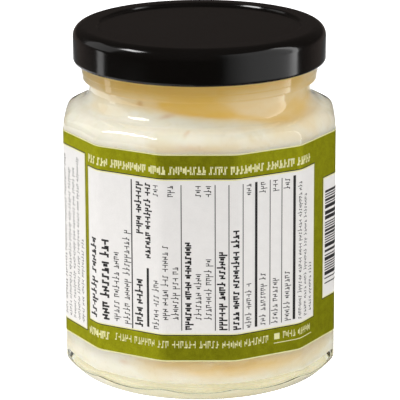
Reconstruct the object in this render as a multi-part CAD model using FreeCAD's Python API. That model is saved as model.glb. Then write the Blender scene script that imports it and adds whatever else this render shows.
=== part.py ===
import FreeCAD, Part

import math
import os

# A small panelled food jar, full of a white cream sauce and shut by a twist-off lid.
# Units are millimetres, +Z is up, and the origin is the middle of the jar's underside.
# The jar has twelve flat panels, and one of them faces -Y.
#
#   glass_jar  clear glass, one piece: foot ring, panelled body, shoulder, neck, mouth and threads
#   lid        pressed steel cap, one sheet: sunk centre, rim, skirt, rolled hem and lugs
#   sauce      fills the glass from its floor to just under the rim
#   label      paper wrapped once round the panels
#
# Radii count from the jar's axis. Rounded corners are given as (radius, height, rounding).

# ---- glass: body ----
panel_count = 12
panel_apothem = 35.5            # from the axis to the middle of a panel
panel_edge_rounding = 6.0       # the upright edges between panels
wall = 2.5                      # glass behind the middle of a panel
floor_thickness = 4.6           # glass under the sauce, from the table
floor_rounding = 5.0            # inside, between floor and wall
heel_rounding = 2.4             # where a panel turns under
heel_slope = 43.9               # degrees from the table
heel_width = 3.5                # from a panel in to where the heel's slope would meet the table
foot_rounding = 6.5             # the heel's slope into the foot ring
foot_width = 5.5                # from there in to the inner edge of the foot ring
foot_inner_rounding = 0.8
punt_height = 2.0               # how far the underside is pushed up
punt_run = 3.0                  # width of the slope up to it
punt_rounding = 4.0

# ---- glass: shoulder, neck and mouth ----
shoulder_height = 71.1          # where a panel's plane would meet the shoulder's cone
shoulder_slope = 21.2           # degrees from the table
shoulder_rounding = 3.5         # where a panel turns into the shoulder
inner_shoulder_rounding = 4.5
mouth_radius = 26.9             # the bore
neck_wall = 2.1
neck_rounding = 4.5             # shoulder into neck
neck_height = 5.0               # from the shoulder's cone up to the ring
ring_height = 4.9               # the thick ring below the threads
ring_stand = 1.3                # how far the ring stands out from the finish
ring_step = 0.25                # the ring's lower half stands out less
ring_rounding = 0.45
finish_wall = 2.8               # glass of the mouth behind the threads
finish_height = 9.35            # from the ring to the rim
rim_rounding = 0.7

# ---- twist-off closure ----
sheet = 0.3                     # the lid's steel
lid_rounding = 2.9              # rim into skirt
lid_gap = 0.15                  # from the top of the ring up to the lid's hem
lid_centre_gap = 0.1            # how far the step to the sunk centre stays inside the bore
lid_centre_depth = 0.7
lid_centre_run = 0.5            # how far that step leans
lid_centre_rounding = 0.45
hem_gap = 0.5                   # from the ring out to the hem's inner side, seen from above
hem_radius = 0.8                # the rolled edge at the foot of the skirt
hem_leg = 0.7                   # its end, turned up inside the skirt
thread_count = 4
thread_arc = 58.0               # degrees of the circle
thread_height = 1.3
thread_depth = 1.25
lug_arc = 15.0                  # degrees of the circle
lug_reach = 1.0                 # how far a lug stands in from the hem
lug_height = 1.1

# ---- sauce and label ----
headspace = 4.4                 # from the glass rim down to the sauce
label_bottom = 12.35
label_top_gap = 4.05            # from the label's top up to shoulder_height
label_thickness = 0.1

# ---- sizes that follow ----
slope_rise = math.tan(math.radians(shoulder_slope))
inner_radius = panel_apothem - wall
neck_radius = mouth_radius + neck_wall
finish_radius = mouth_radius + finish_wall
ring_radius = finish_radius + ring_stand
neck_foot = shoulder_height + (panel_apothem - neck_radius) * slope_rise
ring_bottom = neck_foot + neck_height
ring_top = ring_bottom + ring_height
glass_height = ring_top + finish_height
lid_bottom = ring_top + lid_gap
hem_inner = ring_radius + hem_gap
lid_radius = hem_inner + 2 * hem_radius
lug_top = lid_bottom + hem_radius + hem_leg     # the lugs pull up against the threads here
fill_height = glass_height - headspace
label_height = shoulder_height - label_top_gap - label_bottom


def flat_point(radius, height):
    """A point in the half plane that every round piece is revolved from."""
    return FreeCAD.Vector(radius, 0, height)


def rounded_outline(corners):
    """A closed wire through (radius, height, rounding) corners, each rounded by an arc tangent to both sides."""
    places = [flat_point(radius, height) for radius, height, _ in corners]
    bends = []
    for i, (_, _, rounding) in enumerate(corners):
        here = places[i]
        if rounding == 0:
            bends.append((here, None, here))
            continue
        back = (places[i - 1] - here).normalize()
        ahead = (places[(i + 1) % len(places)] - here).normalize()
        half_angle = back.getAngle(ahead) / 2
        reach = rounding / math.tan(half_angle)
        inward = (back + ahead).normalize()
        crest = here + inward * (rounding / math.sin(half_angle) - rounding)
        bends.append((here + back * reach, crest, here + ahead * reach))
    edges = []
    for i, (arrive, crest, depart) in enumerate(bends):
        leave = bends[i - 1][2]
        if not arrive.isEqual(leave, 1e-6):
            edges.append(Part.LineSegment(leave, arrive).toShape())
        if crest is not None:
            edges.append(Part.Arc(arrive, crest, depart).toShape())
    return Part.Wire(edges)


def sheet_corners(path, thickness):
    """Corners of a bent sheet whose outer face follows an open path, with its inner face on the path's right."""
    places = [flat_point(radius, height) for radius, height, _ in path]
    rights = []
    for here, ahead in zip(places, places[1:]):
        along = (ahead - here).normalize()
        rights.append(FreeCAD.Vector(along.z, 0, -along.x))
    inner = []
    for i, (_, _, rounding) in enumerate(path):
        arriving = rights[max(i - 1, 0)]
        leaving = rights[min(i, len(rights) - 1)]
        place = places[i] + (arriving + leaving) * (thickness / (1 + arriving.dot(leaving)))
        bends_right = arriving.cross(leaving).y > 0
        inner_rounding = rounding - thickness if bends_right else rounding + thickness
        inner.append((place.x, place.z, inner_rounding if rounding else 0))
    return path + inner[::-1]


def revolved(corners, arc=360.0, middle=0.0):
    """The solid that a rounded outline sweeps round the axis, over an arc centred on an angle."""
    face = Part.Face(rounded_outline(corners))
    up = FreeCAD.Vector(0, 0, 1)
    solid = face.revolve(FreeCAD.Vector(), up, arc)
    return solid.rotate(FreeCAD.Vector(), up, middle - arc / 2)


def spaced_round(corners, arc):
    """One revolved solid for each thread of the closure, evenly round the axis."""
    pitch = 360.0 / thread_count
    return [revolved(corners, arc, pitch * (i + 0.5)) for i in range(thread_count)]


def panelled_prism(apothem, edge_rounding, bottom, height):
    """An upright prism with the jar's panels and their rounded edges."""
    half_turn = math.pi / panel_count
    centre_reach = (apothem - edge_rounding) / math.cos(half_turn)
    arcs = []
    for i in range(panel_count):
        panel = 2 * math.pi * i / panel_count - math.pi / 2
        angles = (panel, panel + half_turn, panel + 2 * half_turn)
        reach = FreeCAD.Vector(math.cos(angles[1]), math.sin(angles[1]), 0) * centre_reach
        centre = reach + FreeCAD.Vector(0, 0, bottom)
        rounds = [FreeCAD.Vector(math.cos(a), math.sin(a), 0) * edge_rounding for a in angles]
        arcs.append(Part.Arc(*[centre + r for r in rounds]))
    edges = []
    for i, arc in enumerate(arcs):
        edges.append(Part.LineSegment(arcs[i - 1].EndPoint, arc.StartPoint).toShape())
        edges.append(arc.toShape())
    return Part.Face(Part.Wire(edges)).extrude(FreeCAD.Vector(0, 0, height))


def turn_edges(body, low, high):
    """The edges round the outside of the panels that lie between two heights."""
    found = []
    for edge in body.Edges:
        box = edge.BoundBox
        outside = math.hypot(box.Center.x, box.Center.y) > inner_radius
        if outside and low < box.ZMin and box.ZMax < high:
            found.append(edge)
    return found


def hollow_corners():
    """The inside of the glass from the middle of its floor to where the mouth begins."""
    drop = wall / math.cos(math.radians(shoulder_slope))
    cone_foot = shoulder_height + wall * slope_rise - drop
    cone_top = shoulder_height + (panel_apothem - mouth_radius) * slope_rise - drop
    return [
        (0, floor_thickness, 0),
        (inner_radius, floor_thickness, floor_rounding),
        (inner_radius, cone_foot, inner_shoulder_rounding),
        (mouth_radius, cone_top, inner_shoulder_rounding),
    ]


def make_body(top):
    """The outside of the jar from foot ring to neck, solid, with the panels rounded into heel and shoulder."""
    beyond = panel_apothem + 2.0        # outside the panels' upright edges
    heel_foot = panel_apothem - heel_width
    foot_inner = heel_foot - foot_width
    heel_top = (beyond - heel_foot) * math.tan(math.radians(heel_slope))
    cone_foot = shoulder_height - (beyond - panel_apothem) * slope_rise
    blank = revolved([
        (0, punt_height, 0),
        (foot_inner - punt_run, punt_height, punt_rounding),
        (foot_inner, 0, foot_inner_rounding),
        (heel_foot, 0, foot_rounding),
        (beyond, heel_top, 0),
        (beyond, cone_foot, 0),
        (neck_radius, neck_foot, neck_rounding),
        (neck_radius, top, 0),
        (0, top, 0),
    ])
    body = blank.common(panelled_prism(panel_apothem, panel_edge_rounding, 0, top))
    body = body.makeFillet(shoulder_rounding, turn_edges(body, cone_foot, top))
    return body.makeFillet(heel_rounding, turn_edges(body, 0, heel_top))


def make_glass():
    """The whole glass, with the hollow that the sauce fills."""
    joint = (neck_foot + neck_rounding + ring_bottom) / 2
    waist = (ring_bottom + ring_top) / 2
    slim = ring_radius - ring_step
    mouth = revolved([
        (0, joint, 0),
        (neck_radius, joint, 0),
        (neck_radius, ring_bottom, ring_rounding / 2),
        (slim, ring_bottom + ring_rounding, ring_rounding),
        (slim, waist - ring_rounding / 2, 0),
        (ring_radius, waist, ring_rounding / 4),
        (ring_radius, ring_top - ring_rounding, ring_rounding),
        (finish_radius, ring_top, ring_rounding / 2),
        (finish_radius, glass_height, rim_rounding),
        (0, glass_height, 0),
    ])
    root = finish_radius - finish_wall / 4
    crown = finish_radius + thread_depth
    threads = spaced_round([
        (root, lug_top, 0),
        (crown, lug_top, 0),
        (crown, lug_top + thread_height / 2, 0),
        (finish_radius, lug_top + thread_height, 0),
        (root, lug_top + thread_height, 0),
    ], thread_arc)
    flare = mouth_radius + 2 * rim_rounding
    hollow = revolved(hollow_corners() + [
        (mouth_radius, glass_height, rim_rounding),
        (flare, glass_height, 0),
        (flare, glass_height + rim_rounding, 0),
        (0, glass_height + rim_rounding, 0),
    ])
    return make_body(joint).fuse([mouth] + threads).cut(hollow).removeSplitter()


def make_lid():
    """The lid's sheet, seated on the glass rim, with its lugs against the undersides of the threads."""
    top = glass_height + sheet
    centre_radius = mouth_radius - lid_centre_gap
    path = [
        (0, top - lid_centre_depth, 0),
        (centre_radius - lid_centre_run, top - lid_centre_depth, lid_centre_rounding),
        (centre_radius, top, lid_centre_rounding),
        (lid_radius, top, lid_rounding),
        (lid_radius, lid_bottom, hem_radius),
        (hem_inner, lid_bottom, hem_radius),
        (hem_inner, lug_top, 0),
    ]
    lugs = spaced_round([
        (hem_inner - lug_reach, lug_top - lug_height, 0),
        (hem_inner + sheet / 2, lug_top - lug_height, 0),
        (hem_inner + sheet / 2, lug_top, 0),
        (hem_inner - lug_reach, lug_top, 0),
    ], lug_arc)
    return revolved(sheet_corners(path, sheet)).fuse(lugs).removeSplitter()


def make_sauce():
    """The sauce, which shares the inner surface of the glass up to its own level."""
    return revolved(hollow_corners() + [
        (mouth_radius, fill_height, 0),
        (0, fill_height, 0),
    ])


def make_label():
    """One turn of paper, flat on the panels."""
    outer_rounding = panel_edge_rounding + label_thickness
    paper = panelled_prism(panel_apothem + label_thickness, outer_rounding, label_bottom, label_height)
    return paper.cut(panelled_prism(panel_apothem, panel_edge_rounding, label_bottom, label_height))


def main():
    """Writes one STEP file for each piece."""
    os.makedirs("parts", exist_ok=True)
    pieces = {
        "glass_jar": make_glass(),
        "lid": make_lid(),
        "sauce": make_sauce(),
        "label": make_label(),
    }
    for name, shape in pieces.items():
        if len(shape.Solids) != 1 or not shape.isValid():
            raise ValueError(f"{name} is not one sound solid")
        shape.Solids[0].exportStep(f"parts/{name}.step")
        print(name, round(shape.Volume / 1000, 2), "cm3", shape.BoundBox)


main()
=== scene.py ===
"""Finishes, print and studio for a small panelled jar of horseradish sauce.

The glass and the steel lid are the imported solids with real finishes. The sauce and the paper
label are new pieces that stand for theirs: the sauce reaches just into the glass, so that no air
shows between them, and the label carries its printed fields, rules, rows and bars as thin layers
of ink. Every row of print is greeked, in strokes that spell nothing.
"""

import logging
import math
from dataclasses import dataclass, field
from enum import Enum
from typing import Any

import bpy
import numpy as np
from mathutils import Euler, Matrix, Vector


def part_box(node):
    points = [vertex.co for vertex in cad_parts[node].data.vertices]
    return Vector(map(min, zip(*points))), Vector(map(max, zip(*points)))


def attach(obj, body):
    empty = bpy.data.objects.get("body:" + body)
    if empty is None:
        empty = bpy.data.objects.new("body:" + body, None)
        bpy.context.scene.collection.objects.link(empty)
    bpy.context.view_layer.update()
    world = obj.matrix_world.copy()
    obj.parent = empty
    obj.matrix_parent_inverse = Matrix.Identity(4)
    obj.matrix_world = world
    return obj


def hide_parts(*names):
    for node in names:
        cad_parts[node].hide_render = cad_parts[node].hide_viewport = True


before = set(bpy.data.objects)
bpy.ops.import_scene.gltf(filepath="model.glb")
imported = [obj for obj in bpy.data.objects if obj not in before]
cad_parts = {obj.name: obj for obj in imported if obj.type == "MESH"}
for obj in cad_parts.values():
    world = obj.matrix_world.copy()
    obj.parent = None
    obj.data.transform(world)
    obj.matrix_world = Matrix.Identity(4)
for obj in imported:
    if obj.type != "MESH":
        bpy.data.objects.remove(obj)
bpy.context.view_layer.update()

log = logging.getLogger("jar")

MM = 0.001
Colour = tuple[float, float, float, float]
Pair = tuple[float, float]
Box = tuple[float, float, float, float]     # start, end, low and high
Tree = bpy.types.NodeTree
Socket = bpy.types.NodeSocket
Object = bpy.types.Object
Array = np.ndarray


# ------------ colours, nodes and meshes


def linear(hex_code: str) -> Colour:
    """Turns an sRGB hex colour to linear light.

    Args:
        hex_code: six hex digits, with or without a leading #.

    Returns:
        Red, green, blue and an alpha of 1.
    """
    digits = hex_code.lstrip("#")
    parts = [int(digits[i : i + 2], 16) / 255 for i in (0, 2, 4)]
    red, green, blue = (p / 12.92 if p <= 0.04045 else ((p + 0.055) / 1.055) ** 2.4 for p in parts)
    return red, green, blue, 1.0


def add_node(
    tree: Tree, kind: str, inputs: dict[Any, Any] | None = None, **settings: Any
) -> bpy.types.Node:
    """Adds one node to a tree.

    Args:
        tree: the node tree.
        kind: the node's type name, without its ShaderNode.
        inputs: input name or number to its value, or to the node or output socket that feeds it.
        settings: the node's own properties.

    Returns:
        The new node.
    """
    made = tree.nodes.new(f"ShaderNode{kind}")
    for name, value in settings.items():
        setattr(made, name, value)
    for name, value in (inputs or {}).items():
        if isinstance(value, bpy.types.Node):
            value = value.outputs[0]
        if isinstance(value, Socket):
            tree.links.new(value, made.inputs[name])
        else:
            made.inputs[name].default_value = value
    return made


def ramp(tree: Tree, value: Socket, start: Pair, end: Pair) -> Socket:
    """Adds a straight ramp from one (value, result) to another, level beyond both."""
    return add_node(tree, "MapRange", {
        "Value": value, "From Min": start[0], "From Max": end[0],
        "To Min": start[1], "To Max": end[1]}).outputs[0]


def maths(tree: Tree, operation: str, *values: Any) -> Socket:
    """Adds one sum of sockets and numbers, and returns its result."""
    return add_node(tree, "Math", dict(enumerate(values)), operation=operation).outputs[0]


def switched(tree: Tree, share: Socket, first: Any, second: Any) -> Socket:
    """Mixes two shaders: all first at a share of 0, all second at 1."""
    return add_node(tree, "MixShader", {0: share, 1: first, 2: second}).outputs[0]


def blended_in(tree: Tree, share: Socket, base: Any, colour: Colour) -> Socket:
    """Mixes a colour into a base: all base at a share of 0, all colour at 1."""
    return add_node(tree, "Mix", {0: share, 6: base, 7: colour}, data_type="RGBA").outputs[2]


def noise(tree: Tree, place: Socket, scale: float, detail: float) -> Socket:
    """Adds cloudy noise that stays with the piece. Its spots are about 1 / scale metres across."""
    return add_node(tree, "TexNoise", {
        "Vector": place, "Scale": scale, "Detail": detail}).outputs[0]


def new_material(name: str) -> tuple[bpy.types.Material, Tree]:
    """Makes an empty node material and returns it with its tree."""
    material = bpy.data.materials.new(name)
    material.use_nodes = True
    material.node_tree.nodes.clear()
    return material, material.node_tree


def dress(piece: Object, material: bpy.types.Material) -> None:
    """Gives a piece one material in place of all that it has."""
    if not piece.material_slots:
        piece.data.materials.append(material)
    for place in piece.material_slots:
        place.material = material


def add_object(name: str, data: Any) -> Object:
    """Makes an object from a mesh, lamp or camera and links it to the scene."""
    made = bpy.data.objects.new(name, data)
    bpy.context.scene.collection.objects.link(made)
    return made


def make_mesh(name: str, points: Array, quads: Array, smooth: bool) -> Object:
    """Puts points and faces into a mesh object at the origin.

    Args:
        name: the piece's name.
        points: n by 3 places in millimetres.
        quads: m by 4 corner numbers, where a last number equal to the first makes a triangle.
        smooth: whether the faces shade smoothly.

    Returns:
        The object, linked to the scene.
    """
    sides = np.where(quads[:, 3] == quads[:, 0], 3, 4)
    used = np.ones_like(quads, dtype=bool)
    used[:, 3] = sides == 4
    corners = quads[used]
    starts = np.concatenate(([0], np.cumsum(sides)[:-1]))
    mesh = bpy.data.meshes.new(name)
    mesh.vertices.add(len(points))
    mesh.vertices.foreach_set("co", (points * MM).astype(np.float32).ravel())
    mesh.loops.add(len(corners))
    mesh.loops.foreach_set("vertex_index", corners.astype(np.int32))
    mesh.polygons.add(len(quads))
    mesh.polygons.foreach_set("loop_start", starts.astype(np.int32))
    mesh.polygons.foreach_set("use_smooth", np.full(len(quads), smooth))
    mesh.update(calc_edges=True)
    mesh.validate()
    return add_object(name, mesh)


def settle(piece: Object, node: str) -> Object:
    """Ties a new piece to the jar: it rides on the root and stands for a node, which is hidden."""
    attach(piece, "root")
    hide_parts(node)
    log.info("%s: %d faces, in place of %s", piece.name, len(piece.data.polygons), node)
    return piece


# ------------ shapes


def rounded_path(corners: list[tuple[float, float, float]], step: float = 0.35) -> Array:
    """Walks an open path of straight sides whose corners are arcs tangent to both sides.

    A corner of rounding q and half angle h between its sides starts its arc q / tan(h) before
    the corner and ends it as far after. The arc's points are worked out from its centre.

    Args:
        corners: (radius, height, rounding) of each corner, in millimetres.
        step: the longest distance between points on an arc.

    Returns:
        n by 2 array of radius and height.
    """
    places = np.array([c[:2] for c in corners], float)
    parts = [places[:1]]
    for before, here, after, (_, _, rounding) in zip(places, places[1:], places[2:], corners[1:-1]):
        back = (before - here) / np.linalg.norm(before - here)
        ahead = (after - here) / np.linalg.norm(after - here)
        half = math.acos(float(np.clip(back @ ahead, -1, 1))) / 2
        reach = rounding / math.tan(half)
        middle = (back + ahead) / np.linalg.norm(back + ahead)
        centre = here + middle * rounding / math.sin(half)
        first, last = here + back * reach - centre, here + ahead * reach - centre
        sweep = math.pi - 2 * half
        count = max(3, math.ceil(rounding * sweep / step) + 1)
        t = np.linspace(0, 1, count)[:, None]
        shares = np.sin((1 - t) * sweep) / math.sin(sweep), np.sin(t * sweep) / math.sin(sweep)
        parts.append(centre + first * shares[0] + last * shares[1])
    parts.append(places[-1:])
    return np.concatenate(parts)


def spaced(path: Array, gap: Array) -> Array:
    """Resamples a path so that its points lie about a wanted gap apart.

    The number of steps to a point is the sum of length over gap along the path, and the new
    points are where that sum passes whole numbers.

    Args:
        path: n by 2 points.
        gap: the wanted gap at each of those points.

    Returns:
        m by 2 points along the same path, ends kept.
    """
    lengths = np.linalg.norm(np.diff(path, axis=0), axis=1)
    steps = np.concatenate(([0], np.cumsum(lengths / ((gap[1:] + gap[:-1]) / 2))))
    wanted = np.linspace(0, steps[-1], math.ceil(steps[-1]) + 1)
    return np.stack([np.interp(wanted, steps, path[:, i]) for i in (0, 1)], axis=1)


def turned(name: str, radius: Array, height: Array) -> Object:
    """Closes a round body whose radius and height may vary round the axis.

    Point (i, j) is at angle 2 pi j / n from -Y, radius[i, j] from the axis, height[i, j] up. The
    first and last rows shrink to one point each on the axis. Rows run from the bottom outwards
    and up to the top, so the faces point outwards.

    Args:
        name: the piece's name.
        radius: rows by columns, in millimetres.
        height: the same shape.

    Returns:
        The object.
    """
    rows, columns = radius.shape
    angle = np.arange(columns) * 2 * np.pi / columns
    ring = np.stack([radius * np.sin(angle), -radius * np.cos(angle), height], axis=-1)
    ends = np.array([[0, 0, height[0].mean()], [0, 0, height[-1].mean()]])
    points = np.concatenate([ring[1:-1].reshape(-1, 3), ends])
    index = np.arange((rows - 2) * columns).reshape(rows - 2, columns)
    ahead = np.roll(index, -1, axis=1)
    sides = np.stack([index[:-1], ahead[:-1], ahead[1:], index[1:]], axis=-1).reshape(-1, 4)
    low, high = len(points) - 2, len(points) - 1
    bottom = np.stack([np.full(columns, low), ahead[0], index[0], np.full(columns, low)], axis=-1)
    top = np.stack([np.full(columns, high), index[-1], ahead[-1], np.full(columns, high)], axis=-1)
    return make_mesh(name, points, np.concatenate([sides, bottom, top]), smooth=True)


@dataclass
class Panels:
    """The ring of flat panels with rounded edges that the paper lies on. Sizes in millimetres."""

    count: int = 12
    apothem: float = 35.5
    rounding: float = 6.0
    paper: float = 0.1
    bend_columns: int = 7       # on each rounded edge
    closest: float = 0.01       # between two columns

    @property
    def half_angle(self) -> float:
        """Half of the turn from one panel to the next."""
        return math.pi / self.count

    @property
    def flat(self) -> float:
        """Width of a panel's flat part."""
        return 2 * (self.apothem - self.rounding) * math.tan(self.half_angle)

    @property
    def pitch(self) -> float:
        """Distance along the paper's outside from one panel's middle to the next."""
        return self.flat + 2 * self.half_angle * (self.rounding + self.paper)

    @property
    def girth(self) -> float:
        """Distance once round the paper's outside."""
        return self.pitch * self.count

    def place(self, along: Array, out: Array | float) -> Array:
        """Wraps distances along the paper on to the panels.

        On a flat, a point lies straight out from the panel's plane. Past the flat it lies on an
        arc about the edge's upright axis, at the angle of its distance over the paper's radius.

        Args:
            along: distances from the middle of the front panel, + to the right.
            out: how far out from the glass.

        Returns:
            x and y of each, in a last axis of 2.
        """
        panel = np.round(along / self.pitch)
        local = along - panel * self.pitch
        beyond = np.maximum(np.abs(local) - self.flat / 2, 0) * np.sign(local)
        bend = beyond / (self.rounding + self.paper)
        reach = self.rounding + out
        x = np.clip(local, -self.flat / 2, self.flat / 2) + reach * np.sin(bend)
        y = -(self.apothem - self.rounding) - reach * np.cos(bend)
        turn = panel * 2 * self.half_angle
        return np.stack([
            x * np.cos(turn) - y * np.sin(turn), x * np.sin(turn) + y * np.cos(turn)], axis=-1)

    def stations(self, start: float, end: float) -> Array:
        """Distances between start and end at which a wide patch needs a column, ends included."""
        bends = np.linspace(self.flat / 2, self.pitch - self.flat / 2, self.bend_columns)
        first, last = math.floor(start / self.pitch) - 1, math.ceil(end / self.pitch) + 1
        marks = (np.arange(first, last)[:, None] * self.pitch + bends).ravel()
        inside = marks[(marks > start + self.closest) & (marks < end - self.closest)]
        return np.concatenate(([start], inside, [end]))

    def layers(self, name: str, along: Array, height: Array, out: Pair) -> Object:
        """Makes thin closed patches that lie on the panels.

        Patch i runs through the distances along[i] and from height[i, 0] up to height[i, 1]. Its
        four long rows are inner and outer at the bottom and the top.

        Args:
            name: the piece's name.
            along: patches by columns.
            height: patches by 2.
            out: how far its inner and its outer face lie from the glass.

        Returns:
            The object.
        """
        patches, columns = along.shape
        inner, outer = self.place(along, out[0]), self.place(along, out[1])
        flat = np.stack([inner, inner, outer, outer], axis=2)
        rise = np.broadcast_to(height[:, None, [0, 1, 0, 1]], (patches, columns, 4))
        points = np.concatenate([flat, rise[..., None]], axis=-1).reshape(-1, 3)
        index = np.arange(patches * columns * 4).reshape(patches, columns, 4)
        here, there = index[:, :-1], index[:, 1:]
        a, b, c, d = (here[..., i] for i in range(4))
        e, f, g, h = (there[..., i] for i in range(4))
        left, right = index[:, 0], index[:, -1]
        quads = [
            np.stack([c, g, h, d], axis=-1).reshape(-1, 4),
            np.stack([a, b, f, e], axis=-1).reshape(-1, 4),
            np.stack([d, h, f, b], axis=-1).reshape(-1, 4),
            np.stack([a, e, g, c], axis=-1).reshape(-1, 4),
            left[:, [0, 2, 3, 1]],
            right[:, [2, 0, 1, 3]],
        ]
        return make_mesh(name, points, np.concatenate(quads), smooth=False)

    def patches(self, name: str, boxes: list[Box], out: Pair) -> Object:
        """Makes wide patches, each given as start, end, low and high, as one piece."""
        rows = [self.stations(start, end) for start, end, _, _ in boxes]
        longest = max(len(row) for row in rows)
        along = np.stack([_padded(row, longest) for row in rows])
        height = np.array([[low, high] for _, _, low, high in boxes])
        return self.layers(name, along, height, out)

    def band(self, name: str, low: float, high: float, out: Pair) -> Object:
        """Makes the paper itself, one closed band round all the panels."""
        along = self.stations(-self.girth / 2, self.girth / 2)[:-1]
        inner, outer = self.place(along, out[0]), self.place(along, out[1])
        edges = ((inner, low), (outer, low), (outer, high), (inner, high))
        rows = [np.column_stack([xy, np.full(len(xy), z)]) for xy, z in edges]
        index = np.arange(4 * len(along)).reshape(4, -1)
        ahead = np.roll(index, -1, axis=1)
        quads = [
            np.stack([index[i], ahead[i], ahead[(i + 1) % 4], index[(i + 1) % 4]], axis=-1)
            for i in range(4)
        ]
        return make_mesh(name, np.concatenate(rows), np.concatenate(quads), smooth=False)


def _padded(row: Array, length: int) -> Array:
    """Lengthens a row of distances by halving its widest gaps until it has the wanted length."""
    while len(row) < length:
        widest = int(np.argmax(np.diff(row)))
        row = np.insert(row, widest + 1, (row[widest] + row[widest + 1]) / 2)
    return row


# ------------ finishes


@dataclass(frozen=True)
class SodaLimeGlass:
    """Clear container glass, blown into a mould. To the eye it is colourless where thin and a
    faint yellow-green where the light runs a long way through it, as at the heel and the ring."""

    ior: float = 1.5
    tint: str = "#F5F6E4"
    tint_density: float = 26.0      # for each metre of glass

    def material(self) -> bpy.types.Material:
        """Builds it. Lamps and soft light pass straight through, and the eye sees real glass."""
        made, tree = new_material("soda_lime_glass")
        place = add_node(tree, "TexCoord").outputs["Object"]
        # A mould leaves slow waves about 14 mm long, too shallow to see but for their glints.
        waves = noise(tree, place, 70.0, 1.0)
        bump = add_node(tree, "Bump", {"Height": waves, "Strength": 0.12, "Distance": 0.0006})
        clear = add_node(tree, "BsdfPrincipled", {
            "Base Color": linear("#FFFFFF"), "Roughness": 0.0, "IOR": self.ior,
            "Transmission Weight": 1.0, "Normal": bump})
        open_way = add_node(tree, "BsdfTransparent")
        path = add_node(tree, "LightPath")
        lit = switched(tree, path.outputs["Is Diffuse Ray"], clear, open_way)
        both = switched(tree, path.outputs["Is Shadow Ray"], lit, open_way)
        soak = add_node(tree, "VolumeAbsorption", {
            "Color": linear(self.tint), "Density": self.tint_density})
        add_node(tree, "OutputMaterial", {"Surface": both, "Volume": soak})
        return made


@dataclass(frozen=True)
class BlackEnamel:
    """Gloss black lacquer baked on tinplate. To the eye it is a deep warm black that mirrors the
    lamps softly, with the faintest orange peel and a little dust."""

    colour: str = "#070605"
    dust: str = "#2A2826"
    roughness: float = 0.13

    def material(self) -> bpy.types.Material:
        """Builds it."""
        made, tree = new_material("black_enamel_tinplate")
        place = add_node(tree, "TexCoord").outputs["Object"]
        # Orange peel of about 1.4 mm, and a slow wander of the gloss over 8 mm.
        peel = noise(tree, place, 700.0, 2.0)
        bump = add_node(tree, "Bump", {"Height": peel, "Strength": 0.05, "Distance": 0.0001})
        duller, glossier = self.roughness + 0.04, self.roughness - 0.03
        gloss = ramp(tree, noise(tree, place, 125.0, 3.0), (0.3, glossier), (0.7, duller))
        # Dust motes of about 0.2 mm, one or two on each square centimetre.
        motes = add_node(tree, "TexVoronoi", {"Vector": place, "Scale": 420.0})
        dust = ramp(tree, motes.outputs["Distance"], (0.035, 0.25), (0.06, 0.0))
        paint = blended_in(tree, dust, linear(self.colour), linear(self.dust))
        enamel = add_node(tree, "BsdfPrincipled", {
            "Base Color": paint, "Roughness": gloss, "IOR": 1.5, "Normal": bump})
        add_node(tree, "OutputMaterial", {"Surface": enamel})
        return made


@dataclass(frozen=True)
class CreamSauce:
    """Whipped oil and grated horseradish. To the eye it is a smooth warm off-white, a little
    see-through, with tan where oil gathers at the glass, tan painted shade under the lid and along
    the label's edges, and fine shreds just under the surface."""

    cream: str = "#F6F1E2"
    shade: str = "#EEE7CE"
    shred: str = "#DDD0A8"
    # The tan colours oil at the glass and also painted shade under the lid and along the label.
    tan: str = "#EEC464"
    spice: str = "#D09450"

    def material(self) -> bpy.types.Material:
        """Builds it from the mesh's oil-and-shade and spice attributes."""
        made, tree = new_material("horseradish_cream")
        place = add_node(tree, "TexCoord").outputs["Object"]
        # Folds left by filling, about 12 mm apart and lying aslant.
        lean = add_node(tree, "Mapping", {
            "Vector": place, "Rotation": (0.0, 0.5, 0.3), "Scale": (1.0, 1.0, 2.2)})
        folds = add_node(tree, "TexNoise", {
            "Vector": lean, "Scale": 80.0, "Detail": 3.0, "Distortion": 0.6}).outputs[0]
        folded = ramp(tree, folds, (0.42, 0.0), (0.72, 0.75))
        base = blended_in(tree, folded, linear(self.cream), linear(self.shade))
        # Shreds of about 1 mm, barely darker than the cream.
        shreds = ramp(tree, noise(tree, place, 900.0, 2.0), (0.55, 0.0), (0.75, 0.25))
        flecked = blended_in(tree, shreds, base, linear(self.shred))
        # The tan's edge, where oil lies and where shade is painted, wanders by the same folds, so it
        # never ends in a clean line.
        oil_and_shade = add_node(tree, "Attribute", attribute_name="oil_and_shade").outputs["Fac"]
        edge = maths(tree, "MULTIPLY_ADD", maths(tree, "SUBTRACT", folds, 0.5), 0.55, oil_and_shade)
        oiled_and_shaded = blended_in(tree, ramp(tree, edge, (0.08, 0.0), (1.0, 1.0)), flecked, linear(self.tan))
        spice = add_node(tree, "Attribute", attribute_name="spice").outputs["Fac"]
        cream = add_node(tree, "BsdfPrincipled", {
            "Base Color": blended_in(tree, spice, oiled_and_shaded, linear(self.spice)),
            "Roughness": 0.4, "IOR": 1.45, "Specular IOR Level": 0.2, "Subsurface Weight": 0.25,
            "Subsurface Radius": (1.0, 0.8, 0.5), "Subsurface Scale": 0.0015})
        add_node(tree, "OutputMaterial", {"Surface": cream})
        return made


class Ink(Enum):
    """What is printed on the label paper: name, sRGB colour, how metallic, roughness."""

    GREEN = ("olive_metallic_ink", "#A7A71E", 0.67, 0.47)
    WHITE = ("bare_coated_paper", "#E8E5E2", 0.0, 0.45)
    CREAM = ("cream_ink", "#E6E2A4", 0.0, 0.45)
    BLACK = ("black_ink", "#211D1D", 0.0, 0.5)
    GREY = ("worn_black_ink", "#5A5655", 0.0, 0.5)


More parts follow.
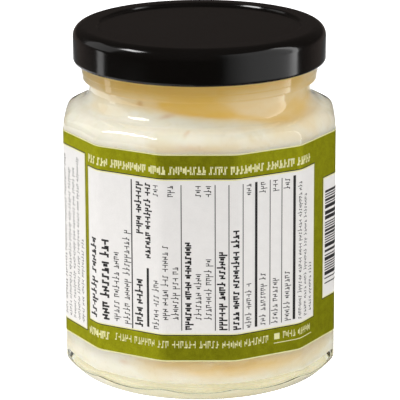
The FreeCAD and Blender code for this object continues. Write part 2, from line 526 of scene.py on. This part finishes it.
@dataclass(frozen=True)
class LabelPaper:
    """Coated label paper under one ink. To the eye it is a satin sheet, its fibres barely
    showing, and the olive ink holds a little metal that lights up towards the lamp."""

    ink: Ink
    olive_edge: str = "#B9B418"     # what the olive ink turns to at a grazing view

    def material(self) -> bpy.types.Material:
        """Builds it."""
        name, colour, metal, roughness = self.ink.value
        olive = self.ink is Ink.GREEN
        made, tree = new_material(name)
        place = add_node(tree, "TexCoord").outputs["Object"]
        # Fibres are about 0.05 mm across. They are drawn at 0.35 mm so that they show at all,
        # and the press leaves clouds of about 1.8 mm in a solid ink.
        fibre = noise(tree, place, 2800.0, 2.0)
        grain = maths(tree, "ADD", fibre, noise(tree, place, 550.0, 2.0))
        deep = 0.2 if olive else 0.03      # how far the clouds darken it
        level = ramp(tree, grain, (0.7, 1 - deep), (1.3, 1 + deep / 2))
        toned = add_node(tree, "HueSaturation", {"Value": level, "Color": linear(colour)})
        bump = add_node(tree, "Bump", {"Height": fibre, "Strength": 0.08, "Distance": 0.00005})
        sheet = add_node(tree, "BsdfPrincipled", {
            "Base Color": toned, "Metallic": metal, "Roughness": roughness,
            "Specular Tint": linear(self.olive_edge if olive else "#FFFFFF"),
            "Specular IOR Level": 0.12 if olive else 0.4, "Normal": bump})
        add_node(tree, "OutputMaterial", {"Surface": sheet})
        return made


# ------------ the jar's sub-assemblies


@dataclass
class Glassware:
    """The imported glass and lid, which keep their shape and get real finishes."""

    glass: SodaLimeGlass = field(default_factory=SodaLimeGlass)
    enamel: BlackEnamel = field(default_factory=BlackEnamel)

    def build(self) -> None:
        """Dresses both."""
        for node, finish in (("glass_jar", self.glass), ("lid", self.enamel)):
            dress(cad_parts[node], finish.material())
            log.info("%s: packed solid in %s", node, type(finish).__name__)


@dataclass(frozen=True)
class Patch:
    """A soft spot on the sauce: its middle, how far it spreads, how strong it is and how it leans."""

    turn: float         # degrees round from the front, + to the right
    height: float       # millimetres
    wide: float         # millimetres round the jar
    tall: float         # millimetres
    strength: float
    lean: float = 0.0   # millimetres up for each millimetre to the right


@dataclass
class Sauce:
    """The sauce in one piece: the hollow of the glass up to the fill, 0.25 mm into the wall."""

    floor: float = 4.6
    floor_rounding: float = 5.0
    radius: float = 33.0
    shoulder: float = 69.39
    neck_foot: float = 71.75
    shoulder_rounding: float = 4.5
    mouth: float = 26.9
    into_wall: float = 0.25
    columns: int = 300
    hidden: Pair = (16.0, 63.0)     # heights between which the label hides the wall
    under_lid: float = 85.0         # above this the lid hides it
    spot_radius: float = 30.0      # where distances round the jar are counted
    swirl_rows: int = 18
    swirl: float = 0.5              # how high the filler's last fold stands
    # Tan spots: partly oil at the glass, partly painted shade, round the neck under the lid and just
    # above and below the label.
    oil_and_shade: tuple[Patch, ...] = (
        Patch(-54, 81.5, 10.0, 3.0, 0.78), Patch(-50, 76.8, 7.0, 2.0, 0.18),
        Patch(-10, 82.0, 11.0, 3.0, 0.95), Patch(26, 82.0, 12.0, 3.0, 0.6),
        Patch(60, 82.0, 10.0, 3.2, 0.6), Patch(-7, 76.6, 5.5, 1.5, 0.95),
        Patch(-20, 77.4, 5.0, 1.3, 0.18), Patch(-36, 77.0, 4.0, 1.5, 0.12),
        Patch(8, 75.9, 4.0, 1.6, 0.5), Patch(24, 76.0, 8.0, 2.2, 0.45),
        Patch(20, 74.0, 8.0, 0.9, 0.45, -0.2), Patch(52, 73.4, 9.0, 2.8, 0.5),
        Patch(70, 73.0, 8.0, 3.5, 0.42), Patch(46, 71.3, 6.0, 1.0, 0.2),
        Patch(-62, 72.5, 6.0, 1.4, 0.2), Patch(2, 67.6, 12.0, 0.9, 0.4),
        Patch(6, 9.8, 12.0, 2.4, 0.6), Patch(-14, 11.2, 5.0, 1.0, 0.2),
        Patch(42, 10.0, 14.0, 2.2, 0.35), Patch(118, 77.5, 14.0, 3.4, 0.6),
        Patch(171, 78.6, 12.0, 3.4, 0.7), Patch(-128, 78.0, 13.0, 3.0, 0.5),
        Patch(-90, 81.0, 9.0, 2.6, 0.4), Patch(145, 81.0, 10.0, 2.6, 0.4),
        Patch(150, 10.0, 12.0, 1.5, 0.4), Patch(-100, 9.4, 8.0, 1.4, 0.3),
    )
    spice: tuple[Patch, ...] = (
        Patch(-32.2, 77.3, 0.6, 0.5, 0.6), Patch(-16.8, 74.4, 1.6, 0.5, 0.4, 0.3),
        Patch(-5.3, 70.3, 0.5, 0.25, 0.35, 0.5), Patch(-3.2, 68.0, 2.2, 0.45, 0.25),
        Patch(-35.3, 9.5, 0.9, 0.4, 0.3), Patch(12.0, 9.9, 0.8, 0.35, 0.2),
        Patch(96.0, 73.0, 1.0, 0.5, 0.4), Patch(-110.0, 74.8, 1.2, 0.4, 0.4),
        Patch(164.0, 71.4, 1.1, 0.4, 0.45), Patch(-160.0, 8.8, 1.0, 0.5, 0.35),
    )

    def profile(self) -> Array:
        """The hollow's outline from the axis at the floor, up the wall, to the axis at the fill.

        The points lie 4 mm apart behind the label, 1.5 mm inside and under the lid, and half a
        millimetre elsewhere.

        Returns:
            n by 2 array of radius and height, in millimetres.
        """
        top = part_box("sauce")[1].z / MM
        w = self.into_wall
        # The shoulder slopes, so its corners rise by only a part of w. The fill bulges by 0.2 mm.
        path = rounded_path([
            (0.0, self.floor - w, 0.0),
            (self.radius + w, self.floor - w, self.floor_rounding + w),
            (self.radius + w, self.shoulder + w * 0.8, self.shoulder_rounding + w),
            (self.mouth + w, self.neck_foot + w * 0.2, self.shoulder_rounding - w),
            (self.mouth + w, top, 0.6),
            (0.0, top + 0.2, 0.0),
        ])
        fine = spaced(path, np.full(len(path), 0.3))
        radius, height = fine.T
        hidden = (radius > self.radius) & (height > self.hidden[0]) & (height < self.hidden[1])
        inside = (radius < self.mouth - 1) | (height > self.under_lid)
        gap = np.where(hidden, 4.0, np.where(inside, 1.5, 0.5))
        return spaced(fine, gap)

    def summed_spots(self, patches: tuple[Patch, ...], turn: Array, height: Array) -> Array:
        """Adds up soft spots. Each falls off as exp of minus half the squared distance, counted in
        spreads, with the distance round the jar taken at the spot radius.

        Args:
            patches: the spots.
            turn: degrees round from the front at each point.
            height: millimetres at each point.

        Returns:
            The strength at each point, up to 1.
        """
        total = np.zeros_like(height)
        for spot in patches:
            across = (np.mod(turn - spot.turn + 180, 360) - 180) * math.radians(1) * self.spot_radius
            up = height - spot.height - across * spot.lean
            total += spot.strength * np.exp(-0.5 * ((across / spot.wide) ** 2 + (up / spot.tall) ** 2))
        return np.clip(total, 0, 1)

    def build(self) -> Object:
        """Makes and dresses the sauce."""
        profile = self.profile()
        rows = len(profile)
        radius = np.repeat(profile[:, :1], self.columns, axis=1)
        height = np.repeat(profile[:, 1:], self.columns, axis=1)
        turn = np.broadcast_to(np.arange(self.columns) * 2 * np.pi / self.columns, radius.shape)
        # The filler's last fold stays on the open top as a low swirl.
        top = (np.arange(rows)[:, None] > rows - self.swirl_rows) & (radius < self.mouth - 2)
        fold = np.sin(3 * turn + radius * 0.5) * np.sin(radius / self.mouth * np.pi)
        height = height + np.where(top, self.swirl * fold, 0)
        piece = turned("cream_sauce", radius, height)
        degrees = np.degrees(turn)
        for name, spots in (("oil_and_shade", self.oil_and_shade), ("spice", self.spice)):
            values = self.summed_spots(spots, degrees, height)
            flat = np.concatenate([values[1:-1].ravel(), [values[0].mean(), values[-1].mean()]])
            store = piece.data.attributes.new(name, "FLOAT", "POINT")
            store.data.foreach_set("value", flat.astype(np.float32))
        dress(piece, CreamSauce().material())
        return settle(piece, "sauce")


class Reading(Enum):
    """Which way a row of print runs."""

    UP = "up the jar"
    ROUND = "round the jar"


@dataclass(frozen=True)
class Row:
    """One row of greeked print, at a distance along the paper or at a height, from start to end."""

    at: float
    start: float
    end: float
    size: float = 1.95
    bold: bool = False
    reading: Reading = Reading.UP
    tall: bool = False      # every sign as high as a capital


@dataclass
class Greeking:
    """Draws rows of print that spell nothing, as small upright strokes and blocks.

    Each sign is one of a few groups of loose blocks, never a letter. Sizes count in the row's size,
    which is the height of a capital.
    """

    seed: int = 11
    small: float = 0.72             # height of a low sign, where a capital is 1
    weight: float = 0.07            # how far bold spreads each block, where a sign is 1 wide
    bold_wide: float = 0.60         # a bold sign's width
    plain_wide: float = 0.54
    space: float = 0.36             # between groups of signs
    pitch: float = 1.02             # from sign to sign, where a sign is 1 wide
    fits: float = 0.8               # the part of a sign that has to fit in the row
    middle: float = 0.42            # height in a row of the line that its place gives
    tall_middle: float = 0.5        # the same where every sign is tall
    columns: int = 4                # so that a block bends with the paper
    signs: tuple[tuple[Box, ...], ...] = (
        ((0.62, 0.80, 0.00, 0.72), (0.06, 0.62, 0.30, 0.42)),
        ((0.36, 0.54, 0.00, 1.00), (0.06, 0.36, 0.00, 0.12), (0.54, 0.84, 0.30, 0.42)),
        ((0.06, 0.24, 0.00, 0.55), (0.62, 0.80, 0.17, 0.72), (0.24, 0.62, 0.28, 0.42)),
        ((0.06, 0.82, 0.00, 0.12), (0.36, 0.54, 0.12, 0.72), (0.66, 0.82, 0.12, 0.40)),
        ((0.62, 0.80, 0.00, 0.72), (0.10, 0.44, 0.16, 0.56)),
        ((0.08, 0.26, -0.26, 0.72), (0.26, 0.62, 0.30, 0.42), (0.62, 0.80, 0.30, 0.72)),
        ((0.34, 0.52, 0.00, 0.72), (0.52, 0.82, 0.60, 0.72), (0.04, 0.34, 0.00, 0.12)),
        ((0.04, 0.84, 0.60, 0.72), (0.10, 0.28, 0.00, 0.60), (0.60, 0.78, 0.22, 0.60)),
    )

    def marks(self, row: Row) -> Array:
        """Lays out one row.

        Args:
            row: where it runs and how large it is.

        Returns:
            n by 4 array of start and end along the paper and low and high.
        """
        chance = np.random.default_rng([self.seed, int(abs(row.at) * 100), int(abs(row.start) * 100)])
        place, left, boxes = row.start, int(chance.integers(3, 9)), []
        wide = row.size * (self.bold_wide if row.bold else self.plain_wide)
        # Bold moves a block's start and end out by the weight, and its low and high by 0.6 of it.
        spread = self.weight * np.array([-1.0, 1.0, -0.6, 0.6]) * row.bold
        while place + wide * self.fits < row.end:
            if left == 0:
                place += row.size * self.space
                left = int(chance.integers(3, 10))
                continue
            sign = np.array(self.signs[int(chance.integers(len(self.signs)))])
            if row.tall:
                sign[:, 2:] = np.clip(sign[:, 2:] / self.small, 0, 1)
            sign += spread
            boxes.append(np.column_stack([place + sign[:, :2] * wide, sign[:, 2:] * row.size]))
            place += wide * self.pitch
            left -= 1
        run = np.concatenate(boxes)
        across = run[:, 2:] - row.size * (self.tall_middle if row.tall else self.middle)
        if row.reading is Reading.ROUND:
            return np.column_stack([run[:, :2], row.at + across])
        return np.column_stack([row.at - across[:, ::-1], run[:, :2]])

    def piece(self, panels: Panels, name: str, rows: list[Row], out: Pair) -> Object:
        """Makes all the rows of one ink as one piece."""
        marks = np.concatenate([self.marks(row) for row in rows])
        along = marks[:, :1] + (marks[:, 1:2] - marks[:, :1]) * np.linspace(0, 1, self.columns)
        return panels.layers(name, along, marks[:, 2:], out)


@dataclass
class Label:
    """The paper wrapped round the panels, and what is printed on it. Sizes in millimetres, measured
    along the paper from the middle of the front panel, + to the right, and up from the table."""

    panels: Panels = field(default_factory=Panels)
    greeking: Greeking = field(default_factory=Greeking)
    low: float = 12.15
    high: float = 67.05
    edge_line: float = 0.3
    back: float = 0.03          # the bare white side against the glass
    outline: float = 0.24
    margin: float = 0.32
    facts: Box = (-33.5, 35.9, 19.1, 60.75)
    side_text: Box = (-58.2, -34.7, 15.6, 63.6)
    bars: Box = (40.4, 60.2, 22.5, 55.7)
    ink_step: float = 0.018     # each layer of ink stands this far out from the one below
    bar_seed: int = 8
    bar_count: int = 80         # bars and the gaps between them
    bar_run: Pair = (26.4, 52.4)
    bar_inset: float = 1.3      # from the sides of its field

    def depth(self, layer: int) -> Pair:
        """How far a layer of ink reaches in and out from the glass. The paper is layer 0."""
        return self.panels.paper * 0.5, self.panels.paper + self.ink_step * layer

    @staticmethod
    def grown(box: Box, by: float) -> Box:
        """A field with a margin added all round."""
        return box[0] - by, box[1] + by, box[2] - by, box[3] + by

    def rules(self) -> list[Box]:
        """The upright lines between the rows, light and heavy, each as start, end, low and high."""
        lines = ((-18.1, 0.17, 19.7, 59.5), (-4.35, 0.11, 20.5, 59.1), (4.25, 0.11, 20.5, 59.1),
                 (7.75, 0.11, 20.5, 59.1), (11.5, 0.11, 20.5, 59.1), (19.45, 0.11, 20.5, 59.1),
                 (22.95, 0.11, 20.5, 59.1), (-13.4, 0.33, 20.9, 36.6), (15.35, 0.36, 20.6, 59.1),
                 (26.7, 0.38, 20.8, 59.3))
        return [(at - half, at + half, low, high) for at, half, low, high in lines]

    def bar_code(self) -> list[Box]:
        """Bars of uneven weight, which lie one above the other and hold no number."""
        chance = np.random.default_rng(self.bar_seed)
        heights = chance.choice([0.33, 0.66, 0.99], self.bar_count, p=[0.55, 0.25, 0.2])
        tops = self.bar_run[0] + np.cumsum(heights)
        lows = tops - heights
        keep = (np.arange(self.bar_count) % 2 == 0) & (tops < self.bar_run[1])
        start, end = self.bars[0] + self.bar_inset, self.bars[1] - self.bar_inset
        return [(start, end, float(a), float(b)) for a, b in zip(lows[keep], tops[keep])]

    def black_rows(self) -> list[Row]:
        """The rows of the facts panel, from left to right."""
        rows = [
            Row(-30.6, 20.7, 42.0, 2.6, True), Row(-26.4, 20.8, 43.0, 2.7, True),
            Row(-23.0, 20.8, 39.5, 2.1), Row(-19.8, 20.6, 46.4, 2.1),
            Row(-16.0, 20.6, 33.8, 2.2, True), Row(-16.1, 45.5, 59.3, 1.95, True),
            Row(-13.4, 39.3, 59.1, 1.9, True),
            Row(-11.1, 20.6, 34.6), Row(-8.6, 23.3, 43.6), Row(-6.0, 23.3, 38.0),
            Row(-2.75, 20.7, 44.4, 2.0, True), Row(-0.15, 23.3, 37.2), Row(2.45, 23.3, 39.6),
            Row(5.9, 20.6, 41.7, 2.0, True), Row(9.5, 20.6, 47.0, 2.0, True),
            Row(13.1, 20.6, 32.9), Row(17.3, 20.6, 35.5), Row(20.9, 20.5, 33.0), Row(24.5, 20.7, 34.7),
            Row(28.6, 20.4, 57.5, 1.5), Row(31.0, 20.8, 53.8, 1.5), Row(33.6, 21.4, 34.8, 1.5),
        ]
        values = (-11.1, -7.2, -0.15, 2.45, 13.1, 17.3, 20.9, 24.5)
        return rows + [Row(at, 55.9, 59.6, 1.9) for at in values]

    def grey_rows(self) -> list[Row]:
        """The small print of the side panel."""
        ends = ((-37.0, 40.5), (-39.4, 61.8), (-41.8, 58.0), (-44.2, 57.5),
                (-46.6, 61.0), (-50.0, 61.0), (-52.6, 48.0), (-55.2, 55.0))
        return [Row(at, 17.2, end, 1.5) for at, end in ends]

    def cream_rows(self) -> list[Row]:
        """The rows that run round the jar in the green bands."""
        return [
            Row(62.8, -33.0, 34.0, 1.95, True, Reading.ROUND, True),
            Row(16.4, -33.5, -24.5, 1.95, True, Reading.ROUND, True),
            Row(16.7, -23.6, 20.0, 1.9, False, Reading.ROUND, True),
            Row(17.1, 23.4, 34.6, 1.8, False, Reading.ROUND, True),
        ]

    def cream_marks(self) -> list[Box]:
        """A plain square before the last row, and the line under both."""
        return [(20.8, 22.4, 16.2, 17.8), (20.7, 34.6, 15.1, 15.3)]

    def layer(self, piece: Object, ink: Ink) -> Object:
        """Dresses one layer, in a finish made once for each ink, and ties it to the jar."""
        dress(piece, bpy.data.materials.get(ink.value[0]) or LabelPaper(ink).material())
        return settle(piece, "label")

    def build(self) -> None:
        """Makes the paper and each layer of ink on it."""
        panels, whole = self.panels, self.panels.girth / 2
        fields = [self.facts, self.side_text, self.bars]
        edges = [(-whole, whole, self.low, self.low + self.edge_line),
                 (-whole, whole, self.high - self.edge_line, self.high)]
        margins = [self.grown(box, -self.outline) for box in fields]
        whites = [self.grown(box, -self.outline - self.margin) for box in fields]
        bands = (("label_back", (0.0, self.back), Ink.WHITE),
                 ("label_paper", (self.back, panels.paper), Ink.GREEN))
        for name, out, ink in bands:
            self.layer(panels.band(name, self.low, self.high, out), ink)
        printed = (("label_edge_lines", edges, 1, Ink.CREAM), ("label_outlines", fields, 1, Ink.BLACK),
                   ("label_margins", margins, 2, Ink.CREAM), ("label_fields", whites, 3, Ink.WHITE),
                   ("label_rules", self.rules() + self.bar_code(), 4, Ink.BLACK))
        for name, boxes, depth, ink in printed:
            self.layer(panels.patches(name, boxes, self.depth(depth)), ink)
        rows = (("label_rows", self.black_rows(), 4, Ink.BLACK),
                ("label_small_rows", self.grey_rows(), 4, Ink.GREY),
                ("label_band_rows", self.cream_rows(), 2, Ink.CREAM))
        for name, lines, depth, ink in rows:
            self.layer(self.greeking.piece(panels, name, lines, self.depth(depth)), ink)
        self.layer(panels.patches("label_band_marks", self.cream_marks(), self.depth(2)), Ink.CREAM)


# ------------ studio


@dataclass(frozen=True)
class Softbox:
    """A flat lamp that faces the jar."""

    name: str
    turn: float             # degrees round from the front, + to the right
    lift: float             # degrees above the table, from the jar's middle
    away: float             # metres
    wide: float             # metres
    tall: float             # metres
    bright: float           # a quarter of its watts for each square metre


@dataclass(frozen=True)
class LitSheet:
    """An upright sheet of lit nylon, bent round the jar, whose brightness changes along it."""

    name: str
    turns: tuple[float, ...]    # degrees round from the front, + to the right
    bright: tuple[float, ...]   # how bright it is at each of them
    away: float                 # metres from the jar's axis
    low: float                  # metres above the table
    high: float                 # metres above the table
    columns: int = 69


@dataclass
class Studio:
    """A pale floor, soft lamps, two lit sheets, a surround and the camera."""

    lens: float = 254.85            # millimetres
    sensor: float = 36.0            # millimetres
    camera_turn: float = 0.7        # degrees round from the front, + to the right
    camera_away: float = 0.724154   # metres
    camera_height: float = 0.247758
    camera_pitch: float = 15.6255   # degrees down
    camera_roll: float = -0.2143
    aim: float = 0.045              # metres up, where the lamps look
    room: str = "#FFEAE0"           # the surround in reflections
    board: str = "#F4F4F4"
    eye_glow: float = 0.5           # of the board for the eye alone, so that it shows white
    foot_glow: float = 0.4          # of the board under the jar's foot
    foot_edge: Pair = (0.031, 0.036)    # metres from the axis between which that glow fades
    board_grey: float = 0.12        # how bright the board is in reflections
    board_through: float = 0.74     # how bright it is through glass
    # Spots where the board glows brighter in reflections alone, painted reflections on the jar: middle,
    # start and end of the fade, brightness.
    board_glow_spots: tuple[tuple[Any, ...], ...] = (
        ((0.0, 0.25, 0.0), 0.13, 0.2, 0.9),
        ((-0.1, -0.03, 0.0), 0.06, 0.105, 0.75),
    )
    lamps: tuple[Softbox, ...] = (
        Softbox("key_high_left", -80, 49, 0.70, 0.20, 0.13, 11.0),
        Softbox("soft_left", -103, 24, 0.66, 0.46, 0.42, 0.5),
        Softbox("strip_left", -98, -9, 0.60, 0.09, 0.17, 1.45),
    )
    sheets: tuple[LitSheet, ...] = (
        LitSheet("lit_sheet_right", (19, 28, 38, 47, 62, 78, 86, 93, 97, 98.5),
                 (0.0, 0.34, 0.62, 0.82, 0.88, 0.97, 1.25, 3.1, 3.6, 0.0), 0.6, -0.19, 0.75),
        LitSheet("lit_card_left", (-152, -145, -58, -44), (0.2, 0.95, 1.6, 0.5), 0.135, 0.014, 0.05),
    )

    def add_camera(self) -> None:
        """Places the camera and makes it the scene's."""
        data = bpy.data.cameras.new("camera")
        data.lens, data.sensor_width, data.clip_start, data.clip_end = self.lens, self.sensor, 0.05, 20.0
        turn = math.radians(self.camera_turn)
        away = self.camera_away
        place = Vector((math.sin(turn) * away, -math.cos(turn) * away, self.camera_height))
        aim = Euler((math.radians(90 - self.camera_pitch), 0, turn)).to_matrix().to_4x4()
        roll = Matrix.Rotation(math.radians(self.camera_roll), 4, "Z")
        camera = add_object("camera", data)
        camera.matrix_world = Matrix.Translation(place) @ aim @ roll
        bpy.context.scene.camera = camera

    def add_lamp(self, lamp: Softbox) -> None:
        """Places one softbox, turned to face the jar's middle."""
        data = bpy.data.lights.new(lamp.name, "AREA")
        data.shape, data.size, data.size_y = "RECTANGLE", lamp.wide, lamp.tall
        data.energy = lamp.bright * 4 * lamp.wide * lamp.tall   # watts
        turn, lift = math.radians(lamp.turn), math.radians(lamp.lift)
        level = math.cos(lift)
        away = Vector((math.sin(turn) * level, -math.cos(turn) * level, math.sin(lift)))
        box = add_object(lamp.name, data)
        place = Matrix.Translation(away * lamp.away + Vector((0, 0, self.aim)))
        box.matrix_world = place @ away.to_track_quat("Z", "Y").to_matrix().to_4x4()
        box.visible_camera = False

    def add_sheet(self, sheet: LitSheet) -> None:
        """Places one lit sheet.

        Point (i, j) is sheet.away from the axis at the j-th angle and the i-th height. Its
        brightness runs straight between the given angles.
        """
        turn = np.linspace(sheet.turns[0], sheet.turns[-1], sheet.columns)
        bright = np.interp(turn, sheet.turns, sheet.bright)
        angle = np.radians(turn)
        ring = np.stack([np.sin(angle), -np.cos(angle)], axis=-1) * sheet.away / MM
        rows = [np.column_stack([ring, np.full(len(ring), z / MM)]) for z in (sheet.low, sheet.high)]
        index = np.arange(2 * len(ring)).reshape(2, -1)
        quads = np.stack([index[0, :-1], index[1, :-1], index[1, 1:], index[0, 1:]], axis=-1)
        piece = make_mesh(sheet.name, np.concatenate(rows), quads, smooth=True)
        store = piece.data.attributes.new("bright", "FLOAT", "POINT")
        store.data.foreach_set("value", np.tile(bright, 2).astype(np.float32))
        material, tree = new_material("lit_nylon")
        level = add_node(tree, "Attribute", attribute_name="bright")
        shine = add_node(tree, "Emission", {"Strength": level.outputs["Fac"]})
        add_node(tree, "OutputMaterial", {"Surface": shine})
        dress(piece, material)
        piece.visible_camera = piece.visible_transmission = False

    def add_world(self) -> None:
        """Surrounds the jar with white for the eye and through glass, a dim room in reflections and
        soft light that changes round the jar for the rest."""
        world = bpy.data.worlds.new("studio")
        bpy.context.scene.world = world
        world.use_nodes = True
        tree = world.node_tree
        tree.nodes.clear()
        path = add_node(tree, "LightPath")
        way = add_node(tree, "TexCoord")
        split = add_node(tree, "SeparateXYZ", {0: way.outputs["Generated"]})
        x, y, z = split.outputs
        # Soft light on the jar grows with height, and is weaker behind, at the left and far right.
        sky = ramp(tree, z, (-0.1, 0.43), (0.6, 1.55))
        front = ramp(tree, y, (-0.9, 1.2), (0.3, 0.78))
        left = ramp(tree, x, (-0.9, 0.52), (0.2, 1.0))
        right = ramp(tree, x, (0.3, 1.0), (0.9, 0.72))
        round_about = maths(tree, "MULTIPLY", maths(tree, "MULTIPLY", front, left), right)
        soft = maths(tree, "MULTIPLY", sky, round_about)
        # Reflections see a dim room, dimmer low down and behind, with a faint glow low behind.
        room = ramp(tree, z, (-0.15, 0.042), (0.25, 0.085))
        behind = ramp(tree, y, (0.0, 1.0), (0.9, 0.6))
        under = ramp(tree, z, (-0.05, 0.11), (0.1, 0.0))
        past = ramp(tree, y, (0.1, 0.0), (0.6, 1.0))
        low = maths(tree, "MULTIPLY", under, past)
        level = maths(tree, "MULTIPLY_ADD", room, behind, low)
        fill, dim, white = (
            add_node(tree, "Background", {"Color": linear(colour), "Strength": strength})
            for colour, strength in (("#FFFFFF", soft), (self.room, level), ("#FFFFFF", 1.0)))
        mirrored = switched(tree, path.outputs["Is Glossy Ray"], fill, dim)
        eye, through = path.outputs["Is Camera Ray"], path.outputs["Is Transmission Ray"]
        whole = switched(tree, maths(tree, "MAXIMUM", eye, through), mirrored, white)
        add_node(tree, "OutputWorld", {"Surface": whole})

    def add_floor(self) -> None:
        """Lays a small pale tabletop, which ends a hand's breadth in front of the jar."""
        points = np.array([[-240, -230, 0], [240, -230, 0], [240, 620, 0], [-240, 620, 0]], float)
        floor = make_mesh("tabletop", points, np.array([[0, 1, 2, 3]]), smooth=False)
        material, tree = new_material("matt_white_board")
        path = add_node(tree, "LightPath")
        place = add_node(tree, "TexCoord").outputs["Object"]
        # The board glows under the jar's foot, in place of light that the thick base pipes there.
        away = add_node(tree, "VectorMath", {0: place}, operation="LENGTH").outputs["Value"]
        under = ramp(tree, away, (self.foot_edge[0], self.foot_glow), (self.foot_edge[1], 0.0))
        glow = maths(tree, "MULTIPLY", path.outputs["Is Camera Ray"], self.eye_glow)
        board = add_node(tree, "BsdfDiffuse", {"Color": linear(self.board)})
        shine = add_node(tree, "Emission", {"Strength": maths(tree, "ADD", under, glow)})
        lit = add_node(tree, "AddShader", {0: board, 1: shine})
        # In reflections the board is a dim grey glow, with brighter glowing spots, painted reflections,
        # just behind the jar and close by on its left.
        spots = []
        for middle, start, end, bright in self.board_glow_spots:
            apart = add_node(tree, "VectorMath", {0: place, 1: middle}, operation="DISTANCE")
            spots.append(ramp(tree, apart.outputs["Value"], (start, bright), (end, self.board_grey)))
        reflected_glow = add_node(tree, "Emission", {"Strength": maths(tree, "MAXIMUM", *spots)})
        through = add_node(tree, "Emission", {"Strength": self.board_through})
        near_by = switched(tree, path.outputs["Is Glossy Ray"], lit, reflected_glow)
        both = switched(tree, path.outputs["Is Transmission Ray"], near_by, through)
        add_node(tree, "OutputMaterial", {"Surface": both})
        dress(floor, material)

    def build(self) -> None:
        """Sets up the whole studio."""
        self.add_camera()
        for lamp in self.lamps:
            self.add_lamp(lamp)
        for sheet in self.sheets:
            self.add_sheet(sheet)
        self.add_world()
        self.add_floor()
        bpy.context.scene.view_settings.view_transform = "Standard"


def main() -> None:
    """Builds the studio and the jar, in order."""
    logging.basicConfig(level=logging.INFO, format="%(name)s: %(message)s")
    Studio().build()
    Glassware().build()
    Sauce().build()
    Label().build()


if __name__ == "__main__":
    main()
